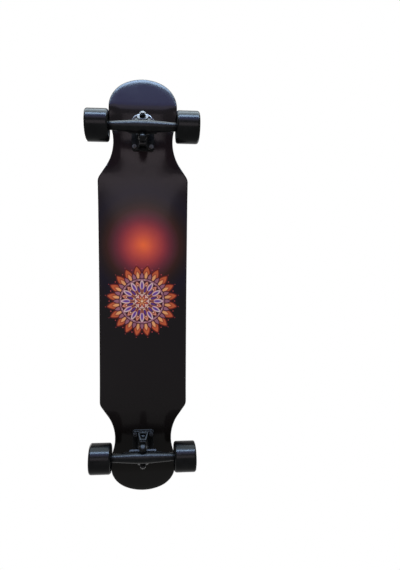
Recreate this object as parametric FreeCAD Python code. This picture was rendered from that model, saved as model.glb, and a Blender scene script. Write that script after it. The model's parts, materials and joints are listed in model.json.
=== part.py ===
import FreeCAD, Part
import math
import os
from FreeCAD import Vector

# Longboard on two reverse-kingpin trucks.
# Frame: +X to the nose, +Y to the left, +Z up, millimetres.
# Origin: on the floor, under the middle of the deck.

# Deck
deck_length = 1070.0
deck_width = 224.0
deck_thickness = 11.0
deck_edge_round = 3.2
nose_width_share = 0.75
neck_width_share = 0.655
tip_radius_share = 1.2
corner_radius_share = 0.83
neck_radius = 108.0
nose_side_share = 0.86
flank_angle = 33.7
shoulder_radius = 25.0
truck_setback = 140.5
neck_inboard = 16.0
flat_half_length = 50.0
kick_radius = 110.0
kick_angle = 15.0
camber_height = 6.5
drop_depth = 3.5
drop_start_share = 0.84
concave_height = 6.0
concave_fade_share = 0.6
press_rows = 60
blank_margin = 5.0
sideways_share = 0.1
upright_share = 0.5

# Grip tape
grip_thickness = 0.8
grip_inset = 3.6

# Mounting bolts
bolt_spacing_long = 63.5
bolt_spacing_wide = 41.3
bolt_radius = 2.4
bolt_head_radius = 4.7
bolt_head_height = 2.3
bolt_tail = 3.0
bolt_clearance = 0.15
recess_reach = 2.6
recess_width = 1.1
recess_depth = 1.4
bolt_nut_flats = 9.5
bolt_nut_height = 5.0

# Truck
truck_height = 70.0
axle_inboard = 4.0
steer_angle = 45.0
riser_thickness = 4.0
plate_length = 78.5
plate_width = 55.0
plate_thickness = 6.0
plate_corner = 7.0
plate_arch_reach = 8.5
plate_arch_setback = 15.0
plate_edge_round = 1.6
pivot_inboard = 22.0
pivot_to_ring = 52.0
pivot_radius = 4.8
pivot_clearance = 0.3
pivot_cup_wall = 1.9
pivot_cup_floor = 2.8
pivot_cup_lip = 0.6
pivot_cup_reach = 2.0
pivot_shell_wall = 2.4
pivot_shell_floor = 5.0
pivot_dome_round = 6.5
tower_base_inboard = 36.0
tower_base_outboard = 16.0
tower_base_width = 27.0
tower_top_width = 15.5
tower_top_depth = 12.0
tower_top_back = 6.0
tower_top_drop = 1.0
tower_rib = 3.4
tower_pocket_depth = 7.0
tower_edge_round = 1.2
kingpin_radius = 4.75
kingpin_clearance = 0.2
kingpin_tail = 2.5
kingpin_head_flats = 14.0
kingpin_head_height = 6.0
kingpin_floor = 9.0
kingpin_boss_radius = 14.5
kingpin_pocket_radius = 9.4
kingpin_nut_flats = 14.0
kingpin_nut_height = 8.0
nut_collar_share = 0.3
bushing_radius = 12.4
bushing_tip_radius = 9.8
bushing_height = 17.0
bushing_waist = 0.9
washer_radius = 13.6
washer_thickness = 1.6
washer_rim_height = 2.4
washer_rim_wall = 0.9

# Hanger
hanger_length = 180.0
hanger_tube_radius = 9.2
hanger_root_radius = 13.8
hanger_root_length = 30.0
hanger_tube_end = 12.0
hanger_ring_radius = 23.0
hanger_ring_thickness = 10.0
hanger_ring_bore = 7.5
hanger_seat_depth = 2.5
hanger_seat_gap = 0.6
hanger_rim_height = 4.0
hanger_nose_length = 14.0
hanger_body_depth = 14.0
hanger_body_width = 104.0
hanger_body_nose_width = 60.0
hanger_body_level = 0.8
hanger_flare_share = 0.635
hanger_edge_round = 2.4
axle_radius = 3.97
axle_clearance = 0.03
axle_tail = 3.0

# Wheel
wheel_radius = 35.5
wheel_width = 52.0
wheel_inner_face = 76.0
wheel_lip = 5.5
wheel_lip_inner = 2.5
core_radius = 18.0
core_mouth_radius = 24.5
core_lip = 2.0
core_rib_radius = 9.6
core_groove = 1.6
bearing_radius = 11.0
bearing_bore = 4.0
bearing_width = 7.0
bearing_inner_land = 6.2
bearing_outer_land = 9.0
bearing_pitch = 7.6
bearing_ball_radius = 1.98
bearing_ball_gap = 0.05
bearing_ball_count = 7
bearing_cage_wall = 1.3
bearing_cage_width = 5.0
bearing_shield_thickness = 0.35
bearing_shield_inset = 0.25
bearing_shield_gap = 0.3
bearing_spacer_length = 10.0
bearing_spacer_radius = 5.9
speed_ring_radius = 5.8
speed_ring_thickness = 1.0
axle_nut_flats = 13.0
axle_nut_height = 7.5

# Places that follow from the sizes
half_length = deck_length / 2
rail_half = deck_width / 2
nose_half = rail_half * nose_width_share
neck_half = rail_half * neck_width_share
bolt_centre_x = half_length - truck_setback
neck_x = bolt_centre_x - neck_inboard
platform_end = bolt_centre_x - flat_half_length
kick_start = bolt_centre_x + flat_half_length
axle_x = bolt_centre_x - axle_inboard
axle_z = wheel_radius
seat_z = axle_z + truck_height
under_z = seat_z + riser_thickness
top_z = under_z + deck_thickness
grip_z = top_z + grip_thickness
steer = math.radians(steer_angle)
along = Vector(math.cos(steer), 0, math.sin(steer))
across = Vector(math.sin(steer), 0, -math.cos(steer))
side = Vector(0, 1, 0)
up = Vector(0, 0, 1)
pivot = Vector(axle_x - pivot_inboard, 0, axle_z)
ring_half = hanger_ring_thickness / 2
bushing_start = ring_half - hanger_seat_depth
bushing_end = bushing_start + bushing_height
washer_end = bushing_end + washer_thickness
nut_end = washer_end + kingpin_nut_height
head_face = -washer_end - kingpin_floor
first_bearing = hanger_length / 2 + speed_ring_thickness
second_bearing = first_bearing + bearing_width + bearing_spacer_length
last_face = second_bearing + bearing_width
nut_start = last_face + speed_ring_thickness
axle_half = nut_start + axle_nut_height + axle_tail


def at(s, k, y=0):
    return pivot + along * s + across * k + side * y


def arc(centre, start, end):
    reach = (start - centre).Length
    middle = (start - centre) + (end - centre)
    middle.normalize()
    return Part.Arc(start, centre + middle * reach, end).toShape()


def line(start, end):
    return Part.LineSegment(start, end).toShape()


def polygon(points):
    return Part.Face(Part.makePolygon(points + points[:1]))


def mirrored(shape, normal):
    return shape.mirror(Vector(0, 0, 0), normal)


def turned(shape):
    copy = shape.copy()
    copy.rotate(Vector(0, 0, 0), up, 180)
    return copy


def other_side(shape):
    copy = shape.copy()
    copy.rotate(Vector(axle_x, 0, axle_z), up, 180)
    return copy


def merged(first, others):
    return first.multiFuse(others).removeSplitter()


def hexagon(flats, height, base, direction):
    points = []
    reach = flats / 2 / math.cos(math.radians(30))
    for step in range(6):
        turn = math.radians(60 * step)
        points.append(Vector(reach * math.cos(turn), reach * math.sin(turn), 0))
    prism = polygon(points).extrude(Vector(0, 0, height))
    prism.Placement = FreeCAD.Placement(base, FreeCAD.Rotation(up, direction))
    return prism


def locknut(flats, height, bore, base, direction):
    low = height * (1 - nut_collar_share)
    body = hexagon(flats, low, base, direction)
    collar_base = base + direction * low
    collar = Part.makeCylinder(flats / 2, height - low, collar_base, direction)
    hole = Part.makeCylinder(bore, height, base, direction)
    return body.fuse(collar).cut(hole).removeSplitter()


def turned_profile(rows, base, direction):
    # rows of (radius, height along the axis), closed and spun about it
    points = [Vector(radius, 0, height) for radius, height in rows]
    solid = polygon(points).revolve(Vector(0, 0, 0), up, 360)
    solid.Placement = FreeCAD.Placement(base, FreeCAD.Rotation(up, direction))
    return solid


def save(name, shapes):
    group = shapes[0] if len(shapes) == 1 else Part.makeCompound(shapes)
    group.exportStep(os.path.join("parts", name + ".step"))


# Deck

def nose_edges(inset):
    # one quarter of the outline, from the tip arc to the rail, moved inwards by the inset
    tip_radius = tip_radius_share * nose_half
    corner_radius = corner_radius_share * nose_half
    tip_centre = Vector(half_length - tip_radius, 0, 0)
    rise = nose_half - corner_radius
    run = math.sqrt((tip_radius - corner_radius) ** 2 - rise ** 2)
    corner_centre = tip_centre + Vector(run, rise, 0)
    toward = (corner_centre - tip_centre).normalize()
    tip_end = tip_centre + toward * (tip_radius - inset)
    corner_end = corner_centre + side * (corner_radius - inset)
    neck_centre = Vector(neck_x, neck_half + neck_radius, 0)
    flare = nose_half - neck_half
    stretch = (corner_end.x - neck_x) * nose_side_share
    side_radius = (stretch ** 2 + flare ** 2) / (2 * flare) - neck_radius
    side_centre = Vector(neck_x + stretch, nose_half - side_radius, 0)
    side_start = side_centre + side * (side_radius - inset)
    toward = (side_centre - neck_centre).normalize()
    inflection = neck_centre + toward * (neck_radius + inset)
    flank = math.radians(flank_angle)
    slope = Vector(-math.cos(flank), math.sin(flank), 0)
    outward = Vector(math.sin(flank), math.cos(flank), 0)
    flank_root = neck_centre - outward * neck_radius
    corner = flank_root + slope * ((rail_half - flank_root.y) / slope.y)
    tangent = shoulder_radius * math.tan(flank / 2)
    shoulder_centre = corner - Vector(tangent, shoulder_radius, 0)
    flank_start = flank_root - outward * inset
    flank_end = shoulder_centre + outward * (shoulder_radius - inset)
    rail_start = shoulder_centre + side * (shoulder_radius - inset)
    edges = [arc(corner_centre, tip_end, corner_end), line(corner_end, side_start)]
    edges.append(arc(side_centre, side_start, inflection))
    edges.append(arc(neck_centre, inflection, flank_start))
    edges.append(line(flank_start, flank_end))
    edges.append(arc(shoulder_centre, flank_end, rail_start))
    return edges, tip_end, rail_start


def outline(inset):
    quarter, tip_end, rail_start = nose_edges(inset)
    flip_x = Vector(1, 0, 0)
    tip = Vector(half_length - inset, 0, 0)
    tip_low = Vector(tip_end.x, -tip_end.y, 0)
    tip_arc = Part.Arc(tip_low, tip, tip_end).toShape()
    rail = line(rail_start, Vector(-rail_start.x, rail_start.y, 0))
    half = quarter + [mirrored(edge, side) for edge in quarter] + [tip_arc]
    edges = half + [mirrored(edge, flip_x) for edge in half] + [rail, mirrored(rail, side)]
    return Part.Wire(Part.__sortEdges__(edges))


def outline_prism(inset):
    height = under_z + deck_length
    return Part.Face(outline(inset)).extrude(Vector(0, 0, height))


def ease(value):
    share = min(max(value, 0), 1)
    return share ** 3 * (10 - 15 * share + 6 * share ** 2)


def press_levels(x):
    # camber less drop, and the concave bow, at one place along the platform
    level_from = platform_end - 2 * platform_end / press_rows
    share = min(abs(x) / level_from, 1)
    camber = camber_height * (1 + math.cos(math.pi * share)) / 2
    drop = drop_depth * (1 - ease((share - drop_start_share) / (1 - drop_start_share)))
    fade = 1 - ease((share - concave_fade_share) / (1 - concave_fade_share))
    return camber - drop, concave_height * fade


def platform_slab(low, high):
    # one pressed sheet: cubic along the board, a parabola across it
    reach_y = rail_half + blank_margin
    spread = (reach_y / rail_half) ** 2
    knots = [platform_end * (2 * row / press_rows - 1) for row in range(press_rows + 1)]
    stations = [knots[0]] * 3 + knots + [knots[-1]] * 3
    poles = []
    for row in range(press_rows + 3):
        x = sum(stations[row + 1:row + 4]) / 3
        middle, bow = press_levels(x)
        level = under_z + low + middle
        rim = level + bow * spread
        valley = level - bow * spread
        poles.append([Vector(x, -reach_y, rim), Vector(x, 0, valley), Vector(x, reach_y, rim)])
    repeats = [4] + [1] * (press_rows - 1) + [4]
    surface = Part.BSplineSurface()
    surface.buildFromPolesMultsKnots(poles, repeats, [3, 3], knots, [0, 1], False, False, 3, 2)
    return surface.toShape().extrude(Vector(0, 0, high - low))


def end_slab(low, high):
    # truck flat and kick as one bent strip
    bend = math.radians(kick_angle)
    run = half_length - kick_start + blank_margin
    centre = Vector(kick_start, 0, under_z + kick_radius)
    edges = []
    ends = []
    for level in (low, high):
        radius = kick_radius - level
        flat_start = Vector(platform_end, 0, under_z + level)
        bend_start = Vector(kick_start, 0, under_z + level)
        bend_end = centre + Vector(math.sin(bend), 0, -math.cos(bend)) * radius
        tip = bend_end + Vector(math.cos(bend), 0, math.sin(bend)) * run
        edges.append(line(flat_start, bend_start))
        edges.append(arc(centre, bend_start, bend_end))
        edges.append(line(bend_end, tip))
        ends.append((flat_start, tip))
    edges.append(line(ends[0][0], ends[1][0]))
    edges.append(line(ends[0][1], ends[1][1]))
    strip = Part.Face(Part.Wire(Part.__sortEdges__(edges)))
    strip.translate(-side * (rail_half + blank_margin))
    return strip.extrude(side * (2 * (rail_half + blank_margin)))


def pressed_board(low, high, inset):
    prism = outline_prism(inset)
    platform = platform_slab(low, high).common(prism)
    nose = end_slab(low, high).common(prism)
    tail = mirrored(nose, Vector(1, 0, 0))
    return merged(platform, [nose, tail])


def rim_edges(board):
    found = []
    for edge in board.Edges:
        levels = []
        for face in board.ancestorsOfType(edge, Part.Face):
            u, v = face.Surface.parameter(edge.valueAt(
                (edge.FirstParameter + edge.LastParameter) / 2))
            levels.append(abs(face.normalAt(u, v).z))
        if len(levels) == 2 and min(levels) < sideways_share and max(levels) > upright_share:
            found.append(edge)
    return found


def bolt_places():
    places = []
    for x_sign in (1, -1):
        for y_sign in (1, -1):
            x = bolt_centre_x + x_sign * bolt_spacing_long / 2
            places.append(Vector(x, y_sign * bolt_spacing_wide / 2, 0))
    return places


def bolt_holes(bottom):
    tools = []
    wide = bolt_head_radius + bolt_clearance
    narrow = bolt_radius + bolt_clearance
    for place in bolt_places():
        hole = Part.makeCylinder(narrow, 2 * grip_z, place + up * bottom)
        sink = Part.makeCone(narrow, wide, bolt_head_height,
                             place + up * (grip_z - bolt_head_height))
        tools.append(hole.fuse(sink))
    return tools


def make_deck():
    board = pressed_board(0, deck_thickness, 0)
    board = board.makeFillet(deck_edge_round, rim_edges(board))
    tools = bolt_holes(0)
    return board.cut(tools + [turned(tool) for tool in tools])


def make_grip_tape():
    tape = pressed_board(deck_thickness, deck_thickness + grip_thickness, grip_inset)
    tools = bolt_holes(0)
    return tape.cut(tools + [turned(tool) for tool in tools])


def make_mounting_bolts():
    bolts = []
    bottom = seat_z - plate_thickness - bolt_nut_height - bolt_tail
    for place in bolt_places():
        head_z = grip_z - bolt_head_height
        shank = Part.makeCylinder(bolt_radius, head_z - bottom, place + up * bottom)
        head = Part.makeCone(bolt_radius, bolt_head_radius, bolt_head_height, place + up * head_z)
        slot_base = place + up * (grip_z - recess_depth)
        slot_corner = Vector(-recess_reach, -recess_width / 2, 0)
        slot = Part.makeBox(2 * recess_reach, recess_width, recess_depth, slot_base + slot_corner)
        cross = slot.copy()
        cross.rotate(slot_base, up, 90)
        bolts.append(shank.fuse(head).cut([slot, cross]).removeSplitter())
    return bolts


def make_mounting_nuts():
    nuts = []
    for place in bolt_places():
        base = place + up * (seat_z - plate_thickness)
        nuts.append(locknut(bolt_nut_flats, bolt_nut_height, bolt_radius, base, -up))
    return nuts


# Truck base

def plate_block(top, thickness):
    # square inboard end, arched outboard end
    half = plate_width / 2
    low = top - thickness
    inboard = bolt_centre_x - plate_length / 2
    crown = bolt_centre_x + plate_length / 2 + plate_arch_reach
    shoulder = crown - plate_arch_setback
    back = [Vector(inboard, half, low), Vector(inboard, -half, low)]
    front = [Vector(shoulder, -half, low), Vector(shoulder, half, low)]
    edges = [line(front[1], back[0]), line(back[0], back[1]), line(back[1], front[0])]
    edges.append(Part.Arc(front[0], Vector(crown, 0, low), front[1]).toShape())
    plate = Part.Face(Part.Wire(edges)).extrude(up * thickness)
    upright = []
    for edge in plate.Edges:
        if abs(edge.tangentAt(edge.FirstParameter).z) > upright_share:
            upright.append(edge)
    return plate.makeFillet(plate_corner, upright)


def make_riser_pad():
    return plate_block(under_z, riser_thickness).cut(bolt_holes(0))


def rectangle(x0, x1, half, z):
    points = [Vector(x0, -half, z), Vector(x1, -half, z), Vector(x1, half, z), Vector(x0, half, z)]
    return Part.makePolygon(points + points[:1])


def tower_block():
    base_z = seat_z - plate_thickness / 2
    top_z_here = pivot.z + tower_top_drop
    base_in = bolt_centre_x - tower_base_inboard
    base_out = bolt_centre_x - tower_base_outboard
    top_out = pivot.x - tower_top_back
    top_in = top_out - tower_top_depth
    base = rectangle(base_in, base_out, tower_base_width / 2, base_z)
    top = rectangle(top_in, top_out, tower_top_width / 2, top_z_here)
    block = Part.makeLoft([base, top], True, True)
    rims = [edge for edge in block.Edges if edge.BoundBox.ZMin < base_z - plate_thickness]
    block = block.makeFillet(tower_edge_round, rims)
    pocket_base = rectangle(base_in - plate_length, base_in + tower_pocket_depth,
                            tower_base_width / 2 - tower_rib, seat_z - 2 * plate_thickness)
    pocket_top = rectangle(top_in - plate_length, top_in + tower_pocket_depth / 2,
                           tower_top_width / 2 - tower_rib, top_z_here + 2 * plate_thickness)
    return block.cut(Part.makeLoft([pocket_base, pocket_top], True, True))


def make_baseplate():
    plate = plate_block(seat_z, plate_thickness)
    low = seat_z - plate_thickness
    rims = [edge for edge in plate.Edges if edge.BoundBox.ZMax < low + plate_edge_round]
    plate = plate.makeFillet(plate_edge_round, rims).cut(bolt_holes(0))
    shell_radius = pivot_radius + pivot_clearance + pivot_cup_wall
    cup_end = -pivot_radius - pivot_clearance - pivot_cup_floor
    shell_end = cup_end - pivot_shell_floor
    outer = shell_radius + pivot_shell_wall
    shell = Part.makeCylinder(outer, pivot_cup_reach - shell_end, at(shell_end, 0), along)
    closed_end = [edge for edge in shell.Edges if edge.CenterOfMass.isEqual(at(shell_end, 0), plate_edge_round)]
    shell = shell.makeFillet(pivot_dome_round, closed_end)
    cup_hole = Part.makeCylinder(shell_radius, 2 * outer, at(cup_end, 0), along)
    boss_length = pivot_to_ring
    boss = Part.makeCylinder(kingpin_boss_radius, boss_length,
                             at(pivot_to_ring, -washer_end - boss_length), across)
    room = Part.makeBox(plate_length, plate_length, seat_z,
                        Vector(bolt_centre_x - plate_length / 2, -plate_length / 2, 0))
    boss = boss.common(room)
    pocket = Part.makeCylinder(kingpin_pocket_radius, boss_length,
                               at(pivot_to_ring, head_face), -across)
    bore = Part.makeCylinder(kingpin_radius + kingpin_clearance, 2 * boss_length,
                             at(pivot_to_ring, -2 * boss_length), across)
    body = merged(plate, [tower_block(), shell, boss])
    return body.cut([cup_hole, pocket, bore]).removeSplitter()


def make_pivot_cup():
    bore = pivot_radius + pivot_clearance
    outer = bore + pivot_cup_wall
    floor = -bore
    end = floor - pivot_cup_floor
    lip = pivot_cup_reach + pivot_cup_lip
    cup = Part.makeCylinder(outer, lip - end, at(end, 0), along)
    hole = Part.makeCylinder(bore, lip, at(0, 0), along)
    return cup.cut([hole, Part.makeSphere(bore, at(0, 0))])


def make_kingpin():
    head = hexagon(kingpin_head_flats, kingpin_head_height,
                   at(pivot_to_ring, head_face - kingpin_head_height), across)
    length = nut_end + kingpin_tail - head_face
    shaft = Part.makeCylinder(kingpin_radius, length, at(pivot_to_ring, head_face), across)
    return head.fuse(shaft).removeSplitter()


def make_kingpin_nut():
    return locknut(kingpin_nut_flats, kingpin_nut_height, kingpin_radius,
                   at(pivot_to_ring, washer_end), across)


def make_bushing(direction, far_radius):
    bore = kingpin_radius + kingpin_clearance
    middle = (bushing_radius + far_radius) / 2 - bushing_waist
    rows = [(bore, 0), (bushing_radius, 0), (bushing_radius, hanger_seat_depth)]
    rows += [(middle, bushing_height / 2), (far_radius, bushing_height), (bore, bushing_height)]
    start = at(pivot_to_ring, 0) + direction * bushing_start
    return turned_profile(rows, start, direction)


def make_board_side_bushing():
    return make_bushing(-across, bushing_radius)


def make_road_side_bushing():
    return make_bushing(across, bushing_tip_radius)


def make_washer(direction):
    bore = kingpin_radius + kingpin_clearance
    rim = washer_radius - washer_rim_wall
    top = washer_thickness
    rows = [(bore, 0), (rim, 0), (rim, -washer_rim_height), (washer_radius, -washer_rim_height)]
    rows += [(washer_radius, top / 2), (washer_radius - top / 2, top), (bore, top)]
    start = at(pivot_to_ring, 0) + direction * bushing_end
    return turned_profile(rows, start, direction)


# Hanger

def hanger_tube():
    half = hanger_length / 2
    straight = half - hanger_tube_end
    root = hanger_root_length / 2
    rows = [(0, -half), (hanger_tube_radius, -half), (hanger_tube_radius, -straight)]
    rows += [(hanger_root_radius, -root), (hanger_root_radius, root)]
    rows += [(hanger_tube_radius, straight), (hanger_tube_radius, half), (0, half)]
    return turned_profile(rows, Vector(axle_x, 0, axle_z), side)


def hanger_body(axle_k):
    near = hanger_nose_length
    far = near + hanger_body_depth
    middle = (near + far) / 2
    nose = hanger_body_nose_width / 2
    wide = hanger_body_width / 2
    rows = [(near, nose), (middle, wide), (far, wide * hanger_flare_share)]
    level = hanger_body_level
    points = [at(s, level, y) for s, y in rows]
    points += [at(s, level, -y) for s, y in reversed(rows)]
    block = polygon(points).extrude(across * (axle_k - level))
    return block.makeFillet(hanger_edge_round, block.Edges)


def hanger_yoke():
    # flat yoke: two arms that run tangent into the bushing ring
    near = hanger_nose_length + hanger_body_depth / 2
    wide = hanger_body_width / 2 * hanger_flare_share
    run = near - pivot_to_ring
    turn = math.atan2(wide, run) - math.acos(hanger_ring_radius / math.hypot(run, wide))
    touch_s = pivot_to_ring + hanger_ring_radius * math.cos(turn)
    touch_y = hanger_ring_radius * math.sin(turn)
    level = -ring_half
    foot = [at(near, level, wide), at(near, level, -wide)]
    touch = [at(touch_s, level, touch_y), at(touch_s, level, -touch_y)]
    crown = at(pivot_to_ring + hanger_ring_radius, level)
    edges = [line(foot[0], touch[0]), Part.Arc(touch[0], crown, touch[1]).toShape()]
    edges += [line(touch[1], foot[1]), line(foot[1], foot[0])]
    plate = Part.Face(Part.Wire(edges)).extrude(across * (hanger_ring_thickness + hanger_rim_height))
    rims = []
    for edge in plate.Edges:
        middle = edge.valueAt((edge.FirstParameter + edge.LastParameter) / 2)
        tangent = edge.tangentAt((edge.FirstParameter + edge.LastParameter) / 2)
        beyond_foot = (middle - foot[0]).dot(along) > hanger_edge_round
        if beyond_foot and abs(tangent.dot(across)) < sideways_share:
            rims.append(edge)
    return plate.makeFillet(hanger_edge_round, rims)


def make_hanger():
    offset = Vector(axle_x, 0, axle_z) - pivot
    axle_k = offset.dot(across)
    nose = Part.makeCylinder(pivot_radius, hanger_nose_length + hanger_body_depth, pivot, along)
    tip = Part.makeSphere(pivot_radius, pivot)
    body = merged(hanger_tube(), [hanger_body(axle_k), hanger_yoke(), nose, tip])
    seat_radius = bushing_radius + hanger_seat_gap
    tools = []
    for direction in (across, -across):
        base = at(pivot_to_ring, 0) + direction * bushing_start
        tools.append(Part.makeCylinder(seat_radius, bushing_height, base, direction))
    tools.append(Part.makeCylinder(hanger_ring_bore, 2 * hanger_ring_thickness,
                                   at(pivot_to_ring, -hanger_ring_thickness), across))
    tools.append(Part.makeCylinder(axle_radius + axle_clearance, hanger_length,
                                   Vector(axle_x, -hanger_length / 2, axle_z), side))
    return body.cut(tools).removeSplitter()


def on_axle(y):
    return Vector(axle_x, y, axle_z)


def make_axle():
    return Part.makeCylinder(axle_radius, 2 * axle_half, on_axle(-axle_half), side)


def both_ends(shapes):
    return shapes + [other_side(shape) for shape in shapes]


def make_axle_nuts():
    return both_ends([locknut(axle_nut_flats, axle_nut_height, axle_radius + axle_clearance,
                              on_axle(nut_start), side)])


def sleeve(inner, outer, start, length):
    rows = [(inner, 0), (outer, 0), (outer, length), (inner, length)]
    return turned_profile(rows, on_axle(start), side)


def make_speed_rings():
    starts = (hanger_length / 2, last_face)
    return both_ends([sleeve(bearing_bore, speed_ring_radius, start, speed_ring_thickness)
                      for start in starts])


def make_bearing_spacers():
    return both_ends([sleeve(bearing_bore, bearing_spacer_radius,
                             first_bearing + bearing_width, bearing_spacer_length)])


# Bearings and wheel, for the left front wheel

def race_groove(start):
    rail = bearing_ball_radius + bearing_ball_gap
    centre = on_axle(start + bearing_width / 2)
    return Part.makeTorus(bearing_pitch, rail, centre, side)


def make_inner_rings():
    rings = []
    for start in (first_bearing, second_bearing):
        ring = sleeve(bearing_bore, bearing_inner_land, start, bearing_width)
        rings.append(ring.cut(race_groove(start)))
    return rings


def make_outer_rings():
    rings = []
    for start in (first_bearing, second_bearing):
        ring = sleeve(bearing_outer_land, bearing_radius, start, bearing_width)
        rings.append(ring.cut(race_groove(start)))
    return rings


def ball_centres(start):
    middle = start + bearing_width / 2
    centres = []
    for step in range(bearing_ball_count):
        turn = 2 * math.pi * step / bearing_ball_count
        spot = Vector(math.cos(turn), 0, math.sin(turn)) * bearing_pitch
        centres.append(on_axle(middle) + spot)
    return centres


def make_balls():
    balls = []
    for start in (first_bearing, second_bearing):
        balls += [Part.makeSphere(bearing_ball_radius, spot) for spot in ball_centres(start)]
    return balls


def make_cages():
    cages = []
    for start in (first_bearing, second_bearing):
        edge = start + (bearing_width - bearing_cage_width) / 2
        ring = sleeve(bearing_pitch - bearing_cage_wall / 2, bearing_pitch + bearing_cage_wall / 2,
                      edge, bearing_cage_width)
        pockets = []
        for spot in ball_centres(start):
            outward = (spot - on_axle(spot.y)).normalize()
            pockets.append(Part.makeCylinder(bearing_ball_radius + bearing_ball_gap, bearing_radius,
                                             on_axle(spot.y), outward))
        cages.append(ring.cut(pockets))
    return cages


def make_shields():
    shields = []
    inner = bearing_inner_land + bearing_shield_gap
    for start in (first_bearing, second_bearing):
        far = start + bearing_width - bearing_shield_inset - bearing_shield_thickness
        for edge in (start + bearing_shield_inset, far):
            shields.append(sleeve(inner, bearing_outer_land, edge, bearing_shield_thickness))
    return shields


def make_core():
    start = first_bearing - core_lip
    end = last_face + core_lip
    inner_stop = first_bearing + bearing_width
    rows = [(bearing_radius, start), (core_radius, start)]
    quarter = (end - start) / 4
    rows += [(core_radius, start + quarter), (core_radius - core_groove, start + quarter)]
    rows += [(core_radius - core_groove, end - quarter), (core_radius, end - quarter)]
    rows += [(core_radius, end), (bearing_radius, end), (bearing_radius, second_bearing)]
    rows += [(core_rib_radius, second_bearing), (core_rib_radius, inner_stop)]
    rows += [(bearing_radius, inner_stop)]
    return turned_profile(rows, on_axle(0), side)


def make_tyre():
    start = first_bearing - core_lip
    end = last_face + core_lip
    near = wheel_inner_face
    far = near + wheel_width
    quarter = (end - start) / 4
    rows = [(core_radius, start), (core_mouth_radius, near + wheel_lip_inner)]
    rows += [(core_mouth_radius + wheel_lip_inner, near), (wheel_radius, near)]
    rows += [(wheel_radius, far), (core_mouth_radius + wheel_lip_inner, far)]
    rows += [(core_mouth_radius, far - wheel_lip_inner), (core_radius, end)]
    rows += [(core_radius, end - quarter), (core_radius - core_groove, end - quarter)]
    rows += [(core_radius - core_groove, start + quarter), (core_radius, start + quarter)]
    tyre = turned_profile(rows, on_axle(0), side)
    rims = []
    for edge in tyre.Edges:
        curve = edge.Curve
        if hasattr(curve, "Radius") and curve.Radius > wheel_radius - wheel_lip_inner:
            if edge.isClosed():
                rims.append(edge)
    return tyre.makeFillet(wheel_lip, rims)


def save_pair(name, shapes):
    save("front_" + name, shapes)
    save("rear_" + name, [turned(shape) for shape in shapes])


def save_wheels(name, shapes):
    across_axle = [other_side(shape) for shape in shapes]
    save("front_left_" + name, shapes)
    save("front_right_" + name, across_axle)
    save("rear_right_" + name, [turned(shape) for shape in shapes])
    save("rear_left_" + name, [turned(shape) for shape in across_axle])


os.makedirs("parts", exist_ok=True)
save("deck", [make_deck()])
save("grip_tape", [make_grip_tape()])
save_pair("mounting_bolts", make_mounting_bolts())
save_pair("mounting_nuts", make_mounting_nuts())
save_pair("riser_pad", [make_riser_pad()])
save_pair("baseplate", [make_baseplate()])
save_pair("pivot_cup", [make_pivot_cup()])
save_pair("kingpin", [make_kingpin()])
save_pair("kingpin_nut", [make_kingpin_nut()])
save_pair("board_side_bushing", [make_board_side_bushing()])
save_pair("road_side_bushing", [make_road_side_bushing()])
save_pair("board_side_washer", [make_washer(-across)])
save_pair("road_side_washer", [make_washer(across)])
save_pair("hanger", [make_hanger()])
save_pair("axle", [make_axle()])
save_pair("axle_nuts", make_axle_nuts())
save_pair("speed_rings", make_speed_rings())
save_pair("bearing_spacers", make_bearing_spacers())
save_pair("bearing_inner_rings", both_ends(make_inner_rings()))
save_wheels("bearing_outer_rings", make_outer_rings())
save_wheels("bearing_balls", make_balls())
save_wheels("bearing_cages", make_cages())
save_wheels("bearing_shields", make_shields())
save_wheels("core", [make_core()])
save_wheels("tyre", [make_tyre()])
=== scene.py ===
import bpy
import bmesh
import json
import math
from mathutils import Matrix, Vector


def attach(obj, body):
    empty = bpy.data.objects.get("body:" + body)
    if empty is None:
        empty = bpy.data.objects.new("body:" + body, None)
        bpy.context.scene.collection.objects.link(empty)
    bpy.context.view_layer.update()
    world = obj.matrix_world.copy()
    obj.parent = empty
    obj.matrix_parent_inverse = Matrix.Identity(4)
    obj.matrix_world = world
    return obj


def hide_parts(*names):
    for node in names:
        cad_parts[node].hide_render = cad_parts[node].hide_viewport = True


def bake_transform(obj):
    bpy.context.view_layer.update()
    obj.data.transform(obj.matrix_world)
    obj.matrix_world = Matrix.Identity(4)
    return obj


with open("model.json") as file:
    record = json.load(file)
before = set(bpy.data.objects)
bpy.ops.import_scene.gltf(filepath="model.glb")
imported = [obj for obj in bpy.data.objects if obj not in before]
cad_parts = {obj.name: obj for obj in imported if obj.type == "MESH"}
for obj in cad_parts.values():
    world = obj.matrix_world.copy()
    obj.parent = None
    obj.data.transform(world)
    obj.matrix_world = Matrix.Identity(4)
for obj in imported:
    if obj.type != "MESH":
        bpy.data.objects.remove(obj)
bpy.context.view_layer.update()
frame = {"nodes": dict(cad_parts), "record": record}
cadNodes = frame["nodes"]
slotOf = {part["node"]: part["material_slot"] for part in frame["record"]["subparts"]}
print("frame loaded:", len(cadNodes), "nodes")


# node helpers

def feed(tree, socket, value):
    if isinstance(value, bpy.types.NodeSocket):
        tree.links.new(value, socket)
    else:
        socket.default_value = value


def addNode(tree, kind, feeds=None, **settings):
    made = tree.nodes.new(kind)
    for name, value in settings.items():
        setattr(made, name, value)
    for name, value in (feeds or {}).items():
        feed(tree, made.inputs[name], value)
    return made


def calc(tree, operation, *terms):
    made = addNode(tree, "ShaderNodeMath", operation=operation)
    for socket, term in zip(made.inputs, terms):
        feed(tree, socket, term)
    return made.outputs[0]


def product(tree, first, *others):
    for other in others:
        first = calc(tree, "MULTIPLY", first, other)
    return first


def distance(tree, across, along):
    squares = [calc(tree, "MULTIPLY", side, side) for side in (across, along)]
    return calc(tree, "SQRT", calc(tree, "ADD", *squares))


def awayFrom(tree, x, y, centreX, centreY):
    return distance(tree, calc(tree, "SUBTRACT", x, centreX), calc(tree, "SUBTRACT", y, centreY))


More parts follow.
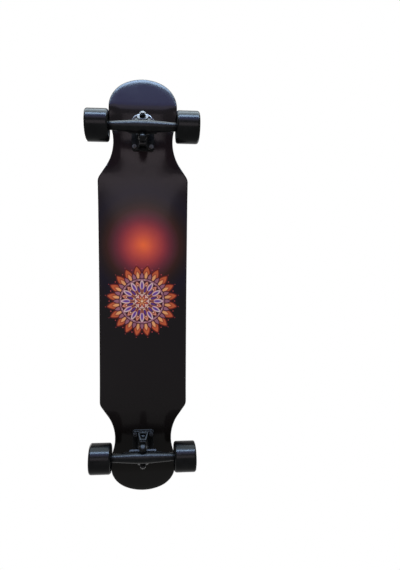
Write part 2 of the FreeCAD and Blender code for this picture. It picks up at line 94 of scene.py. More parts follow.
def clampShare(tree, value):
    return calc(tree, "MINIMUM", calc(tree, "MAXIMUM", value, 0.0), 1.0)


def fade(tree, value, start, end, low=0.0, high=1.0):
    feeds = {"Value": value, "From Min": start, "From Max": end, "To Min": low, "To Max": high}
    return addNode(tree, "ShaderNodeMapRange", feeds, interpolation_type="SMOOTHSTEP").outputs["Result"]


def split(tree, vector):
    return addNode(tree, "ShaderNodeSeparateXYZ", {"Vector": vector}).outputs


def noise(tree, vector, scale, detail):
    feeds = {"Vector": vector, "Scale": scale, "Detail": detail}
    return addNode(tree, "ShaderNodeTexNoise", feeds).outputs["Fac"]


def overlay(tree, mask, below, above):
    made = addNode(tree, "ShaderNodeMix", data_type="RGBA")
    feed(tree, made.inputs[0], mask)
    for index, colour in ((6, below), (7, above)):  # the two colour sockets
        feed(tree, made.inputs[index], (*colour, 1.0) if isinstance(colour, tuple) else colour)
    return made.outputs[2]


def colourRamp(tree, value, stops):
    made = addNode(tree, "ShaderNodeValToRGB", {"Fac": value})
    ramp = made.color_ramp
    while len(ramp.elements) < len(stops):
        ramp.elements.new(1.0)
    for element, (position, colour) in zip(ramp.elements, stops):
        element.position = position
        element.color = (*colour, 1.0)
    return made.outputs["Color"]


def startGroup(name, takes, gives):
    group = bpy.data.node_groups.new(name, "ShaderNodeTree")
    for label, kind, value in takes:
        socket = group.interface.new_socket(label, in_out="INPUT", socket_type="NodeSocket" + kind)
        if value is not None:
            socket.default_value = value
    for label in gives:
        group.interface.new_socket(label, in_out="OUTPUT", socket_type="NodeSocketFloat")
    return group, group.nodes.new("NodeGroupInput").outputs, group.nodes.new("NodeGroupOutput").inputs


def place(tree, group, **feeds):
    made = addNode(tree, "ShaderNodeGroup", node_tree=group)
    for name, value in feeds.items():
        feed(tree, made.inputs[name], value)
    return made.outputs


# shared effects

grainMake = {"broadDetail": 3.0, "fineDetail": 2.0, "fineTimes": 6.0}
dustMake = {"detail": 5.0, "patch": (0.45, 0.75)}
petalMake = {"swell": 2.6, "fillSoft": 0.1, "line": (0.2, 0.06)}
dotMake = {"soft": 0.0006}
wholeTurns = 100.0  # keeps an angle's share positive


def makeGrain():
    takes = [("Vector", "Vector", None), ("Scale", "Float", 200.0), ("Contrast", "Float", 2.0)]
    group, given, out = startGroup("surfaceGrain", takes, ["Mask", "Height"])
    broad = noise(group, given["Vector"], given["Scale"], grainMake["broadDetail"])
    fineScale = calc(group, "MULTIPLY", given["Scale"], grainMake["fineTimes"])
    fine = noise(group, given["Vector"], fineScale, grainMake["fineDetail"])
    spread = calc(group, "MULTIPLY_ADD", calc(group, "SUBTRACT", broad, 0.5), given["Contrast"], 0.5)
    feed(group, out["Mask"], clampShare(group, spread))
    feed(group, out["Height"], fine)
    return group


def makeDust():
    takes = [("Vector", "Vector", None), ("Scale", "Float", 60.0), ("Amount", "Float", 0.2)]
    group, given, out = startGroup("roadDust", takes, ["Mask"])
    cloud = noise(group, given["Vector"], given["Scale"], dustMake["detail"])
    feed(group, out["Mask"], calc(group, "MULTIPLY", fade(group, cloud, *dustMake["patch"]), given["Amount"]))
    return group


def fromMiddle(group, given):
    turns = calc(group, "DIVIDE", calc(group, "MULTIPLY", given["Angle"], given["Count"]), 2 * math.pi)
    ahead = calc(group, "ADD", calc(group, "ADD", turns, given["Turn"]), wholeTurns)
    return calc(group, "SUBTRACT", calc(group, "FRACT", ahead), 0.5)  # zero at the middle of a repeat


def makePetalRing():
    takes = [("Radius", "Float", 0.0), ("Angle", "Float", 0.0), ("Count", "Float", 12.0),
             ("Turn", "Float", 0.0), ("Inner", "Float", 0.0), ("Outer", "Float", 0.1),
             ("Width", "Float", 0.8)]
    group, given, out = startGroup("petalRing", takes, ["Fill", "Line"])
    span = calc(group, "SUBTRACT", given["Outer"], given["Inner"])
    share = calc(group, "DIVIDE", calc(group, "SUBTRACT", given["Radius"], given["Inner"]), span)
    held = clampShare(group, share)
    swell = calc(group, "MULTIPLY", calc(group, "SQRT", held), calc(group, "SUBTRACT", 1.0, held))
    half = product(group, swell, petalMake["swell"], given["Width"])
    off = calc(group, "MULTIPLY", calc(group, "ABSOLUTE", fromMiddle(group, given)), 2.0)
    edge = calc(group, "SUBTRACT", half, off)
    feed(group, out["Fill"], fade(group, edge, 0.0, petalMake["fillSoft"]))
    feed(group, out["Line"], fade(group, calc(group, "ABSOLUTE", edge), *petalMake["line"]))
    return group


def makeDotRing():
    takes = [("Radius", "Float", 0.0), ("Angle", "Float", 0.0), ("Count", "Float", 24.0),
             ("Turn", "Float", 0.0), ("Middle", "Float", 0.06), ("Size", "Float", 0.002)]
    group, given, out = startGroup("dotRing", takes, ["Fill"])
    turned = calc(group, "MULTIPLY", fromMiddle(group, given), 2 * math.pi)
    across = calc(group, "MULTIPLY", calc(group, "DIVIDE", turned, given["Count"]), given["Middle"])
    along = calc(group, "SUBTRACT", given["Radius"], given["Middle"])
    gap = calc(group, "SUBTRACT", given["Size"], distance(group, across, along))
    feed(group, out["Fill"], fade(group, gap, 0.0, dotMake["soft"]))
    return group


surfaceGrain = makeGrain()
roadDust = makeDust()
petalRing = makePetalRing()
dotRing = makeDotRing()
print("shared effects ready")


# finishes

def startFinish(name, values):
    material = bpy.data.materials.new(name)
    material.use_nodes = True
    tree = material.node_tree
    shader = tree.nodes["Principled BSDF"]
    for socket, value in values.items():
        shader.inputs[socket].default_value = value
    where = addNode(tree, "ShaderNodeTexCoord")
    return material, tree, shader, where


def raiseSurface(tree, shader, height, strength, depth, below=None):
    feeds = {"Height": height, "Strength": strength, "Distance": depth}
    if below is not None:
        feeds["Normal"] = below
    feed(tree, shader.inputs["Normal"], addNode(tree, "ShaderNodeBump", feeds).outputs["Normal"])


def roughen(tree, shader, where, look, relief=None):
    spot = where.outputs["Object"]
    grain = place(tree, surfaceGrain, Vector=spot, Scale=look["grainScale"], Contrast=look["grainContrast"])
    feed(tree, shader.inputs["Roughness"], fade(tree, grain["Mask"], 0.0, 1.0, *look["roughness"]))
    height = grain["Height"] if relief is None else calc(tree, "ADD", grain["Height"], relief)
    raiseSurface(tree, shader, height, look["bump"], look["bumpDepth"])
    return grain


# mask of a band along the baseplate's arched end, where a painted highlight goes
def archedEdge(tree, where, edge):
    spot = split(tree, where.outputs["Object"])
    radius = (edge["setback"] ** 2 + edge["halfWidth"] ** 2) / (2 * edge["setback"])  # arc at the plate's end
    x = calc(tree, "ABSOLUTE", spot["X"])
    gap = calc(tree, "SUBTRACT", radius, awayFrom(tree, x, spot["Y"], edge["crown"] - radius, 0.0))
    near = fade(tree, gap, edge["band"], edge["band"] * edge["solidShare"])
    outer = calc(tree, "GREATER_THAN", x, edge["crown"] - edge["setback"])
    plate = calc(tree, "GREATER_THAN", spot["Z"], edge["above"])
    return product(tree, near, outer, plate)


def leanRibs(tree, shader, where, rib):
    spot = split(tree, where.outputs["Object"])
    normal = split(tree, where.outputs["Normal"])
    outward = calc(tree, "MULTIPLY", calc(tree, "SIGN", spot["X"]), normal["X"])
    inboard = calc(tree, "LESS_THAN", outward, rib["facing"])
    tower = calc(tree, "LESS_THAN", calc(tree, "ABSOLUTE", spot["X"]), rib["within"])
    low = calc(tree, "GREATER_THAN", spot["Z"], rib["from"])
    high = calc(tree, "LESS_THAN", spot["Z"], rib["to"])
    here = product(tree, inboard, tower, low, high)
    grained = shader.inputs["Normal"].links[0].from_socket
    raiseSurface(tree, shader, spot["Z"], here, rib["slope"], grained)


def plainFinish(name, look):
    material, tree, shader, where = startFinish(name, look["values"])
    grain = roughen(tree, shader, where, look)
    tint = overlay(tree, grain["Mask"], look["dark"], look["light"])
    dust = place(tree, roadDust, Vector=where.outputs["Object"], Scale=look["dustScale"], Amount=look["dust"])
    colour = overlay(tree, dust["Mask"], tint, look["dustColour"])
    # painted highlight: a metal band along the baseplate's arched end, put there to catch a light line on
    # that edge
    if "highlightEdge" in look:
        highlightBand = archedEdge(tree, where, look["highlightEdge"])
        colour = overlay(tree, highlightBand, colour, look["highlightEdge"]["highlightMetal"])
        feed(tree, shader.inputs["Metallic"], highlightBand)
    if "leaningRib" in look:
        leanRibs(tree, shader, where, look["leaningRib"])
    feed(tree, shader.inputs["Base Color"], colour)
    return material


rosette = {
    "centre": (-0.018, -0.0027), "discSoft": 0.0004, "lineOuter": 0.001, "lineInner": (0.0005, 0.0015),
    "petals": [  # count, inner, outer, width, turn, colour, line
        (20, 0.058, 0.091, 0.85, 0.0, (0.46, 0.09, 0.035), (0.12, 0.012, 0.012)),
        (20, 0.058, 0.078, 0.5, 0.0, (0.68, 0.30, 0.12), (0.3, 0.05, 0.03)),
        (20, 0.056, 0.074, 0.55, 0.5, (0.27, 0.10, 0.15), (0.05, 0.01, 0.02)),
    ],
    "discs": [(0.059, (0.035, 0.012, 0.02)), (0.057, (0.30, 0.12, 0.17)), (0.0525, (0.035, 0.012, 0.02))],
    "innerPetals": [
        (12, 0.014, 0.0545, 0.95, 0.0, (0.62, 0.24, 0.15), (0.07, 0.012, 0.02)),
        (12, 0.018, 0.046, 0.62, 0.0, (0.70, 0.52, 0.35), (0.32, 0.05, 0.04)),
        (12, 0.022, 0.040, 0.34, 0.0, (0.10, 0.035, 0.22), (0.05, 0.01, 0.05)),
        (12, 0.030, 0.0535, 0.42, 0.5, (0.12, 0.045, 0.26), (0.6, 0.4, 0.4)),
    ],
    "hub": [(0.0195, (0.035, 0.012, 0.02)), (0.0183, (0.66, 0.40, 0.36))],
    "hubPetals": [
        (8, 0.0, 0.0178, 0.9, 0.0, (0.42, 0.05, 0.05), (0.07, 0.01, 0.02)),
        (8, 0.002, 0.013, 0.55, 0.0, (0.70, 0.30, 0.12), (0.4, 0.08, 0.04)),
    ],
    "dots": [  # count, middle, size, turn, colour
        (24, 0.0547, 0.0011, 0.0, (0.72, 0.60, 0.45)),
        (20, 0.0835, 0.0016, 0.5, (0.5, 0.06, 0.07)),
        (20, 0.0945, 0.0012, 0.0, (0.45, 0.06, 0.07)),
        (8, 0.0158, 0.0011, 0.5, (0.10, 0.04, 0.22)),
        (1, 0.0, 0.0026, 0.0, (0.70, 0.55, 0.38)),
    ],
}


def printPetals(tree, radius, angle, colour, rows):
    before, after = rosette["lineInner"]
    past = rosette["lineOuter"]
    for count, inner, outer, width, turn, fill, line in rows:
        ring = place(tree, petalRing, Radius=radius, Angle=angle, Count=float(count), Turn=turn,
                     Inner=inner, Outer=outer, Width=width)
        colour = overlay(tree, ring["Fill"], colour, fill)
        inside = fade(tree, radius, outer + past, outer - past)
        outside = fade(tree, radius, inner - before, inner + after)
        colour = overlay(tree, product(tree, ring["Line"], inside, outside), colour, line)
    return colour


def printDiscs(tree, radius, colour, rows):
    soft = rosette["discSoft"]
    for reach, fill in rows:
        colour = overlay(tree, fade(tree, radius, reach + soft, reach - soft), colour, fill)
    return colour


def printDots(tree, radius, angle, colour, rows):
    for count, middle, size, turn, fill in rows:
        ring = place(tree, dotRing, Radius=radius, Angle=angle, Count=float(count), Turn=turn,
                     Middle=middle, Size=size)
        colour = overlay(tree, ring["Fill"], colour, fill)
    return colour


def printRosette(tree, x, y, below):
    dx = calc(tree, "SUBTRACT", x, rosette["centre"][0])
    dy = calc(tree, "SUBTRACT", y, rosette["centre"][1])
    radius = distance(tree, dx, dy)
    angle = calc(tree, "ARCTAN2", dy, dx)
    colour = printPetals(tree, radius, angle, below, rosette["petals"])
    colour = printDiscs(tree, radius, colour, rosette["discs"])
    colour = printPetals(tree, radius, angle, colour, rosette["innerPetals"])
    colour = printDiscs(tree, radius, colour, rosette["hub"])
    colour = printPetals(tree, radius, angle, colour, rosette["hubPetals"])
    return printDots(tree, radius, angle, colour, rosette["dots"])


deckLook = {
    "values": {"Specular IOR Level": 0.062},
    "rim": (0.0035, 0.0032, 0.0036), "underside": (-0.35, -0.75),  # the normal's height from rim to underside
    "halfLength": 0.54,
    "lengthTone": [  # share of the length from tail to nose; darker towards the tail and bluer at the nose
        (0.0, (0.0014, 0.0011, 0.0007)), (0.14, (0.0030, 0.0024, 0.0020)), (0.22, (0.0080, 0.0066, 0.0068)),
        (0.30, (0.0082, 0.0066, 0.0072)), (0.45, (0.0080, 0.0064, 0.0074)), (0.56, (0.0090, 0.0060, 0.0080)),
        (0.68, (0.0110, 0.0065, 0.0085)), (0.74, (0.0100, 0.0070, 0.0100)), (0.82, (0.0110, 0.0070, 0.0085)),
        (0.90, (0.0080, 0.0055, 0.0065)), (1.0, (0.0075, 0.0075, 0.0110)),
    ],
    "glow": {"centre": (0.125, 0.001), "reach": 0.132, "edge": (1.4, 0.9)},
    "glowStops": [  # share of the glow's reach
        (0.0, (0.780, 0.136, 0.042)), (0.10, (0.670, 0.108, 0.048)), (0.20, (0.520, 0.072, 0.050)),
        (0.30, (0.370, 0.050, 0.047)), (0.40, (0.240, 0.032, 0.042)), (0.50, (0.130, 0.022, 0.034)),
        (0.60, (0.070, 0.018, 0.024)), (0.70, (0.034, 0.012, 0.010)), (0.82, (0.016, 0.0085, 0.0095)),
        (1.0, (0.0085, 0.0062, 0.0135)),
    ],
    "smudge": 0.12, "smudgeColour": (0.004, 0.003, 0.004),
    "roughness": (0.14, 0.17), "grainScale": 26.0, "grainContrast": 2.2, "bump": 1.0, "bumpDepth": 0.00002,
    "tipArc": (0.4342, 0.0, 0.1008), "cornerArc": (0.4618, 0.0143, 0.0697),  # centre and radius at the ends
    "rollWidth": 0.022, "rollDepth": 0.0012, "rollPower": 3.0, "rollFade": 0.02,
    "neckEdge": {"from": 0.054, "to": 0.082, "soft": 0.005, "slope": 0.13, "inner": (0.30, 0.345),
                 "outer": (0.47, 0.43)},
}


def rolledEnds(tree, x, y):
    x = calc(tree, "ABSOLUTE", x)
    y = calc(tree, "ABSOLUTE", y)
    tipX, tipY, tipRadius = deckLook["tipArc"]
    cornerX, cornerY, cornerRadius = deckLook["cornerArc"]
    slope = cornerY / (cornerX - tipX)  # line on which the two arcs meet
    beyond = calc(tree, "SUBTRACT", y, calc(tree, "MULTIPLY", calc(tree, "SUBTRACT", x, tipX), slope))
    tipGap = calc(tree, "SUBTRACT", tipRadius, awayFrom(tree, x, y, tipX, tipY))
    cornerGap = calc(tree, "SUBTRACT", cornerRadius, awayFrom(tree, x, y, cornerX, cornerY))
    onCorner = calc(tree, "GREATER_THAN", beyond, 0.0)
    change = calc(tree, "MULTIPLY", onCorner, calc(tree, "SUBTRACT", cornerGap, tipGap))
    gapShare = calc(tree, "DIVIDE", calc(tree, "ADD", tipGap, change), deckLook["rollWidth"])
    near = calc(tree, "MAXIMUM", calc(tree, "SUBTRACT", 1.0, gapShare), 0.0)
    reach = deckLook["rollFade"]
    near = calc(tree, "MULTIPLY", near, fade(tree, x, cornerX - reach, cornerX + reach))
    drop = calc(tree, "POWER", near, deckLook["rollPower"])
    return calc(tree, "MULTIPLY", drop, -deckLook["rollDepth"] / deckLook["bumpDepth"])


def bentNecks(tree, x, y):
    edge = deckLook["neckEdge"]
    x = calc(tree, "ABSOLUTE", x)
    held = calc(tree, "SMOOTH_MIN", calc(tree, "ABSOLUTE", y), edge["to"], 2 * edge["soft"])
    out = calc(tree, "SUBTRACT", held, edge["from"])
    bend = calc(tree, "ADD", out, distance(tree, out, edge["soft"]))
    here = calc(tree, "MULTIPLY", fade(tree, x, *edge["inner"]), fade(tree, x, *edge["outer"]))
    drop = calc(tree, "MULTIPLY", bend, here)
    return calc(tree, "MULTIPLY", drop, -edge["slope"] / 2 / deckLook["bumpDepth"])


def tonedDeck(tree, x, y):
    half = deckLook["halfLength"]
    feeds = {"Value": x, "From Min": -half, "From Max": half}
    along = addNode(tree, "ShaderNodeMapRange", feeds).outputs["Result"]
    lengthTone = colourRamp(tree, along, deckLook["lengthTone"])
    glow = deckLook["glow"]
    away = calc(tree, "DIVIDE", awayFrom(tree, x, y, *glow["centre"]), glow["reach"])
    shine = colourRamp(tree, away, deckLook["glowStops"])
    return overlay(tree, fade(tree, away, *glow["edge"]), lengthTone, shine)


def deckLacquer():
    material, tree, shader, where = startFinish("deckLacquer", deckLook["values"])
    spot = split(tree, where.outputs["Object"])
    relief = calc(tree, "ADD", rolledEnds(tree, spot["X"], spot["Y"]), bentNecks(tree, spot["X"], spot["Y"]))
    grain = roughen(tree, shader, where, deckLook, relief)
    under = fade(tree, split(tree, where.outputs["Normal"])["Z"], *deckLook["underside"])
    colour = printRosette(tree, spot["X"], spot["Y"], tonedDeck(tree, spot["X"], spot["Y"]))
    worn = calc(tree, "MULTIPLY", grain["Mask"], deckLook["smudge"])
    colour = overlay(tree, worn, colour, deckLook["smudgeColour"])
    feed(tree, shader.inputs["Base Color"], overlay(tree, under, deckLook["rim"], colour))
    return material


gripLook = {
    "values": {"Specular IOR Level": 0.05},
    "dark": (0.002, 0.002, 0.002), "light": (0.011, 0.011, 0.0112), "spark": (0.055, 0.055, 0.056),
    "gritScale": 620.0, "cloudScale": 248.0, "cloudDetail": 4.0, "patchScale": 9.0, "patchDetail": 3.0,
    "sparkFlakes": (0.8, 0.95), "sparkCloud": (0.42, 0.6), "wornPatch": (0.4, 0.7), "worn": 0.25,
    "roughness": (0.95, 0.55), "bump": 0.9, "bumpDepth": 0.0009,
}


def gripGrit():
    material, tree, shader, where = startFinish("gripGrit", gripLook["values"])
    spot = where.outputs["Object"]
    grit = addNode(tree, "ShaderNodeTexVoronoi", {"Vector": spot, "Scale": gripLook["gritScale"]}).outputs
    cloud = noise(tree, spot, gripLook["cloudScale"], gripLook["cloudDetail"])
    patch = noise(tree, spot, gripLook["patchScale"], gripLook["patchDetail"])
    shade = overlay(tree, cloud, gripLook["dark"], gripLook["light"])
    flake = addNode(tree, "ShaderNodeSeparateColor", {"Color": grit["Color"]}).outputs["Red"]
    sparkFlake = fade(tree, flake, *gripLook["sparkFlakes"])
    shine = calc(tree, "MULTIPLY", sparkFlake, fade(tree, cloud, *gripLook["sparkCloud"]))
    shade = overlay(tree, shine, shade, gripLook["spark"])
    worn = calc(tree, "MULTIPLY", fade(tree, patch, *gripLook["wornPatch"]), gripLook["worn"])
    feed(tree, shader.inputs["Base Color"], overlay(tree, worn, shade, gripLook["light"]))
    feed(tree, shader.inputs["Roughness"], fade(tree, flake, 0.0, 1.0, *gripLook["roughness"]))
    height = calc(tree, "SUBTRACT", cloud, grit["Distance"])
    raiseSurface(tree, shader, height, gripLook["bump"], gripLook["bumpDepth"])
    return material


plainLooks = {
    "black_steel": {
        "values": {"Metallic": 1.0},
        "dark": (0.012, 0.012, 0.013), "light": (0.03, 0.03, 0.032), "roughness": (0.30, 0.45),
        "grainScale": 420.0, "grainContrast": 2.6, "bump": 0.12, "bumpDepth": 0.0002,
        "dust": 0.12, "dustScale": 130.0, "dustColour": (0.09, 0.08, 0.07)},
    "zinc_steel": {
        "values": {"Metallic": 1.0},
        "dark": (0.02, 0.02, 0.021), "light": (0.046, 0.046, 0.049), "roughness": (0.40, 0.56),
        "grainScale": 380.0, "grainContrast": 2.6, "bump": 0.10, "bumpDepth": 0.0002,
        "dust": 0.25, "dustScale": 110.0, "dustColour": (0.12, 0.11, 0.10)},
    "riser_rubber": {
        "values": {"Specular IOR Level": 0.25},
        "dark": (0.006, 0.006, 0.0065), "light": (0.013, 0.013, 0.014), "roughness": (0.6, 0.8),
        "grainScale": 300.0, "grainContrast": 2.0, "bump": 0.25, "bumpDepth": 0.0004,
        "dust": 0.15, "dustScale": 90.0, "dustColour": (0.05, 0.046, 0.042)},
    "truck_black": {
        "values": {"Specular IOR Level": 0.062},
        "dark": (0.0018, 0.002, 0.0022), "light": (0.004, 0.0044, 0.005), "roughness": (0.26, 0.38),
        "grainScale": 260.0, "grainContrast": 2.0, "bump": 0.08, "bumpDepth": 0.0002,
        "dust": 0.10, "dustScale": 70.0, "dustColour": (0.04, 0.038, 0.036),
        # a metal band on the baseplate's arched end, painted in as a highlight line along that edge
        "highlightEdge": {"crown": 0.442, "setback": 0.015, "halfWidth": 0.0275, "band": 0.002, "solidShare": 0.7,
                     "above": 0.095, "highlightMetal": (0.09, 0.092, 0.095)},
        "leaningRib": {"facing": -0.6, "within": 0.3595, "from": 0.045, "to": 0.0985, "slope": 0.9}},
    "cup_urethane": {
        "values": {"Specular IOR Level": 0.3},
        "dark": (0.008, 0.008, 0.009), "light": (0.016, 0.016, 0.018), "roughness": (0.4, 0.6),
        "grainScale": 300.0, "grainContrast": 2.0, "bump": 0.15, "bumpDepth": 0.0003,
        "dust": 0.15, "dustScale": 100.0, "dustColour": (0.05, 0.046, 0.042)},
    "bushing_urethane": {
        "values": {"Specular IOR Level": 0.4},
        "dark": (0.007, 0.007, 0.008), "light": (0.016, 0.016, 0.018), "roughness": (0.3, 0.5),
        "grainScale": 240.0, "grainContrast": 2.0, "bump": 0.12, "bumpDepth": 0.0003,
        "dust": 0.18, "dustScale": 100.0, "dustColour": (0.05, 0.046, 0.042)},
    "wheel_urethane": {
        "values": {"Specular IOR Level": 0.055},
        "dark": (0.0016, 0.0017, 0.002), "light": (0.0035, 0.0037, 0.0042), "roughness": (0.17, 0.24),
        "grainScale": 70.0, "grainContrast": 1.6, "bump": 0.015, "bumpDepth": 0.0004,
        "dust": 0.06, "dustScale": 45.0, "dustColour": (0.03, 0.029, 0.028)},
    "core_plastic": {
        "values": {"Specular IOR Level": 0.4},
        "dark": (0.008, 0.008, 0.009), "light": (0.016, 0.016, 0.017), "roughness": (0.22, 0.36),
        "grainScale": 220.0, "grainContrast": 2.0, "bump": 0.1, "bumpDepth": 0.0003,
        "dust": 0.1, "dustScale": 90.0, "dustColour": (0.05, 0.046, 0.042)},
    "bearing_steel": {
        "values": {"Metallic": 1.0},
        "dark": (0.50, 0.51, 0.53), "light": (0.70, 0.71, 0.73), "roughness": (0.12, 0.26),
        "grainScale": 500.0, "grainContrast": 2.4, "bump": 0.05, "bumpDepth": 0.0001,
        "dust": 0.2, "dustScale": 160.0, "dustColour": (0.14, 0.13, 0.12)},
    "shield_black": {
        "values": {"Specular IOR Level": 0.35},
        "dark": (0.006, 0.006, 0.0065), "light": (0.014, 0.014, 0.015), "roughness": (0.4, 0.6),
        "grainScale": 400.0, "grainContrast": 2.0, "bump": 0.12, "bumpDepth": 0.0002,
        "dust": 0.2, "dustScale": 150.0, "dustColour": (0.06, 0.055, 0.05)},
}

finishes = {slot: plainFinish(slot, look) for slot, look in plainLooks.items()}
finishes["deck_lacquer"] = deckLacquer()
finishes["grip"] = gripGrit()
for nodeName, piece in cadNodes.items():
    piece.data.materials.clear()
    piece.data.materials.append(finishes[slotOf[nodeName]])
print("finishes on", len(cadNodes), "nodes")


# bushings, soft urethane turned on the kingpin

bushing = {
    "ring": (0.40527, 0.0, 0.07227), "start": 0.0025, "height": 0.017, "bore": 0.00495,
    "wide": 0.0124, "tip": 0.0098, "seat": 0.0025, "waist": 0.0009, "steps": 64,
    "round": 0.0011, "roundSegments": 4, "sharpAngle": math.radians(35), "mergeReach": 1e-6,
}


def bushingRows(far):
    middle = (bushing["wide"] + far) / 2 - bushing["waist"]
    height = bushing["height"]
    return [(bushing["bore"], 0.0), (bushing["wide"], 0.0), (bushing["wide"], bushing["seat"]),
            (middle, height / 2), (far, height), (bushing["bore"], height)]


def turnBushing(name, rows, base, axis):
    shape = bmesh.new()
    points = [shape.verts.new((radius, 0.0, height)) for radius, height in rows]
    ring = [shape.edges.new((first, second)) for first, second in zip(points, points[1:] + points[:1])]
    bmesh.ops.spin(shape, geom=points + ring, cent=(0, 0, 0), axis=(0, 0, 1), angle=2 * math.pi,
                   steps=bushing["steps"], use_merge=True)
    bmesh.ops.remove_doubles(shape, verts=shape.verts, dist=bushing["mergeReach"])
    bmesh.ops.recalc_face_normals(shape, faces=shape.faces)
    solid = [edge for edge in shape.edges if edge.is_manifold]
    sharp = [edge for edge in solid if edge.calc_face_angle() > bushing["sharpAngle"]]
    bmesh.ops.bevel(shape, geom=sharp, offset=bushing["round"], affect="EDGES",
                    segments=bushing["roundSegments"], profile=0.5, material=-1)
    turn = Vector((0, 0, 1)).rotation_difference(Vector(axis)).to_matrix().to_4x4()
    bmesh.ops.transform(shape, matrix=Matrix.Translation(base) @ turn, verts=shape.verts)
    for face in shape.faces:
        face.smooth = True
    mesh = bpy.data.meshes.new(name)
    shape.to_mesh(mesh)
    shape.free()
    piece = bpy.data.objects.new(name, mesh)
    bpy.context.scene.collection.objects.link(piece)
    mesh.materials.append(finishes["bushing_urethane"])
    return piece


for end, sign in (("front", 1), ("rear", -1)):
    ring = Vector(bushing["ring"])
    ring.x *= sign
    away = Vector((sign * math.sqrt(0.5), 0.0, -math.sqrt(0.5)))
    for side, axis, far in (("board", -away, bushing["wide"]), ("road", away, bushing["tip"])):
        base = ring + axis * bushing["start"]
        name = end + "_" + side + "_side_bushing"
        soft = turnBushing(end + side.title() + "Bushing", bushingRows(far), base, axis)
        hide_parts(name)
        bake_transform(soft)
        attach(soft, "board")
print("bushings turned")


# stage, light and camera

stage = {"size": 12.0, "near": 0.9, "far": 2.4,
         "values": {"Base Color": (0.80, 0.80, 0.79, 1), "Roughness": 0.9, "Specular IOR Level": 0.0}}


def makeFloor():
    shape = bmesh.new()
    bmesh.ops.create_grid(shape, x_segments=1, y_segments=1, size=stage["size"] / 2)
    mesh = bpy.data.meshes.new("floor")
    shape.to_mesh(mesh)
    shape.free()
    floor = bpy.data.objects.new("floor", mesh)
    bpy.context.scene.collection.objects.link(floor)
    material, tree, shader, where = startFinish("paleFloor", stage["values"])
    spot = where.outputs["Object"]
    away = addNode(tree, "ShaderNodeVectorMath", {0: spot}, operation="LENGTH").outputs["Value"]
    clear = fade(tree, away, stage["near"], stage["far"])
    behind = addNode(tree, "ShaderNodeNewGeometry").outputs["Backfacing"]
    clear = calc(tree, "MAXIMUM", clear, behind)  # one-sided sheet, because the camera looks up from below
    glass = addNode(tree, "ShaderNodeBsdfTransparent")
    layers = {0: clear, 1: shader.outputs["BSDF"], 2: glass.outputs["BSDF"]}
    mix = addNode(tree, "ShaderNodeMixShader", layers)
    feed(tree, tree.nodes["Material Output"].inputs["Surface"], mix.outputs["Shader"])
    mesh.materials.append(material)
    floor.visible_glossy = False
    floor.visible_diffuse = False
    floor.visible_shadow = False


studio = {"room": {"Color": (0.93, 0.96, 1.0, 1), "Strength": 0.45},
          "backdrop": {"Color": (1, 1, 1, 1), "Strength": 1.0}}


def makeWorld():
    world = bpy.data.worlds.new("studio")
    bpy.context.scene.world = world
    world.use_nodes = True
    tree = world.node_tree
    room = tree.nodes["Background"]
    for socket, value in studio["room"].items():
        room.inputs[socket].default_value = value
    white = addNode(tree, "ShaderNodeBackground", studio["backdrop"])
    path = addNode(tree, "ShaderNodeLightPath").outputs
    seen = calc(tree, "MAXIMUM", path["Is Camera Ray"], path["Is Glossy Ray"])
    seen = calc(tree, "MAXIMUM", seen, path["Is Transmission Ray"])
    layers = {0: seen, 1: room.outputs["Background"], 2: white.outputs["Background"]}
    mix = addNode(tree, "ShaderNodeMixShader", layers)
    feed(tree, tree.nodes["World Output"].inputs["Surface"], mix.outputs["Shader"])


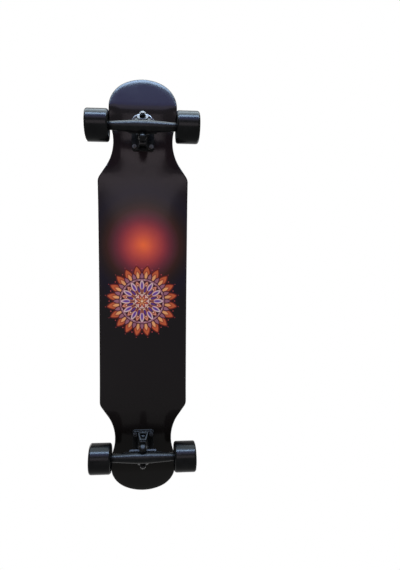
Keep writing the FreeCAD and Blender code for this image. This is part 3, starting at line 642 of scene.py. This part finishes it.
lamps = [  # name, place, aim, width, height, watts, colour, rays it misses
    ("noseWindow", (4.70, 0.0, -1.78), (0.0, 0.0, 0.05), 7.0, 0.85, 1950.0, (0.50, 0.70, 1.0), ["diffuse"]),
    ("noseSky", (5.0, 0.0, 0.5), (0.0, 0.0, 0.05), 7.0, 3.7, 1000.0, (0.75, 0.90, 1.0), ["diffuse"]),
    ("noseGlow", (3.18, 0.0, -2.13), (0.5, 0.0, 0.12), 3.0, 0.98, 80.0, (0.34, 0.36, 1.0), ["diffuse"]),
    ("noseHaze", (2.42, 0.0, -2.48), (0.5, 0.0, 0.12), 3.0, 0.60, 30.0, (0.75, 0.68, 1.0), ["diffuse"]),
    ("deckPanel", (0.59, -0.06, -2.0), (0.52, -0.06, 0.1), 1.12, 0.68, 11.9, (1.0, 0.86, 0.94), ["diffuse"]),
    ("neckPanel", (1.075, -0.03, -2.0), (1.00, -0.03, 0.1), 0.35, 0.29, 1.6, (1.0, 0.86, 0.94), ["diffuse"]),
    ("noseFill", (2.75, 0.0, -1.25), (0.0, 0.0, 0.05), 3.0, 0.9, 60.0, (0.80, 0.90, 1.0), ["glossy"]),
    ("underFill", (-0.4, -1.2, -2.0), (0.0, 0.0, 0.1), 1.6, 1.6, 22.0, (1.0, 0.97, 0.93), ["glossy"]),
    ("topKey", (0.5, -1.3, 2.0), (0.0, 0.0, 0.1), 1.8, 1.4, 50.0, (1.0, 0.98, 0.95), []),
    ("topFill", (-0.9, 1.4, 1.6), (0.0, 0.0, 0.1), 1.8, 1.4, 22.0, (0.92, 0.96, 1.0), []),
]


def makeLamps():
    for name, spot, aim, width, height, watts, colour, missed in lamps:
        light = bpy.data.lights.new(name, "AREA")
        light.shape = "RECTANGLE"
        light.size = width
        light.size_y = height
        light.energy = watts
        light.color = colour
        lamp = bpy.data.objects.new(name, light)
        bpy.context.scene.collection.objects.link(lamp)
        lamp.location = spot
        lamp.rotation_euler = (Vector(aim) - Vector(spot)).to_track_quat("-Z", "Y").to_euler()
        for ray in ["camera"] + missed:
            setattr(lamp, "visible_" + ray, False)


shot = {"place": (0.10005, 0.00974, -0.85283), "aim": (0.02353, 0.07260, 0.113), "up": (1.0, -0.0052, 0.0),
        "lens": 23.96, "sensor": 36.0, "shiftX": 0.05, "clipStart": 0.01, "clipEnd": 50.0}


def makeCamera():
    data = bpy.data.cameras.new("shot")
    data.lens = shot["lens"]
    data.sensor_width = shot["sensor"]
    data.shift_x = shot["shiftX"]
    data.clip_start = shot["clipStart"]
    data.clip_end = shot["clipEnd"]
    camera = bpy.data.objects.new("shot", data)
    bpy.context.scene.collection.objects.link(camera)
    ahead = (Vector(shot["aim"]) - Vector(shot["place"])).normalized()
    right = ahead.cross(Vector(shot["up"])).normalized()
    turn = Matrix((right, right.cross(ahead), -ahead)).transposed()
    camera.matrix_world = Matrix.Translation(shot["place"]) @ turn.to_4x4()
    bpy.context.scene.camera = camera


makeFloor()
makeWorld()
makeLamps()
makeCamera()
bpy.context.scene.view_settings.view_transform = "Standard"
print("stage, lamps and camera set")
